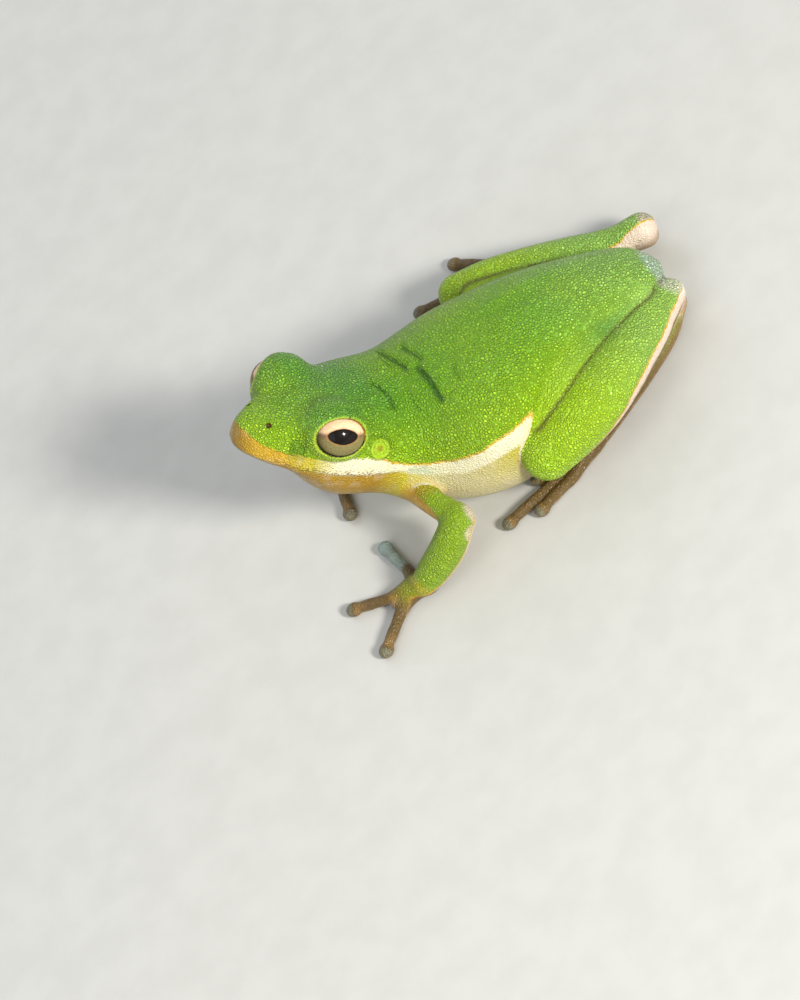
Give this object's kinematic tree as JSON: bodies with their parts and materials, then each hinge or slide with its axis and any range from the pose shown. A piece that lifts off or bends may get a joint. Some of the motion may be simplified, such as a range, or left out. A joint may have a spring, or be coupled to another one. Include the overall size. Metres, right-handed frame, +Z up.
{
  "type": "american green tree frog, sitting, still model",
  "caption": "Life-size still model of a green tree frog sitting on folded hind legs with its head raised, each limb ending in round toe discs.",
  "frame": {"origin": "on the ground, under the middle of the frog's bounding box", "axes": "+X to the frog's front, +Y to the frog's left, +Z up"},
  "size_m": [0.0504, 0.0418, 0.0248],
  "materials": {
    "skin_green": "moist, finely granular skin, yellow-green with a white side stripe",
    "skin_pale": "smooth pale yellow throat skin",
    "skin_tan": "smooth ochre-brown skin of hands, feet and eardrums",
    "eye_gold": "wet, glossy, coppery iris and black pupil"
  },
  "bodies": {
    "root": {"torso": "skin_green", "head": "skin_green", "lower_jaw": "skin_pale", "eye_left": "eye_gold", "eye_right": "eye_gold", "eardrum_left": "skin_tan", "eardrum_right": "skin_tan", "upper_arm_left": "skin_green", "forearm_left": "skin_green", "hand_left": "skin_tan", "thigh_left": "skin_green", "shank_left": "skin_green", "foot_left": "skin_tan", "upper_arm_right": "skin_green", "forearm_right": "skin_green", "hand_right": "skin_tan", "thigh_right": "skin_green", "shank_right": "skin_green", "foot_right": "skin_tan"}
  },
  "joints": []
}
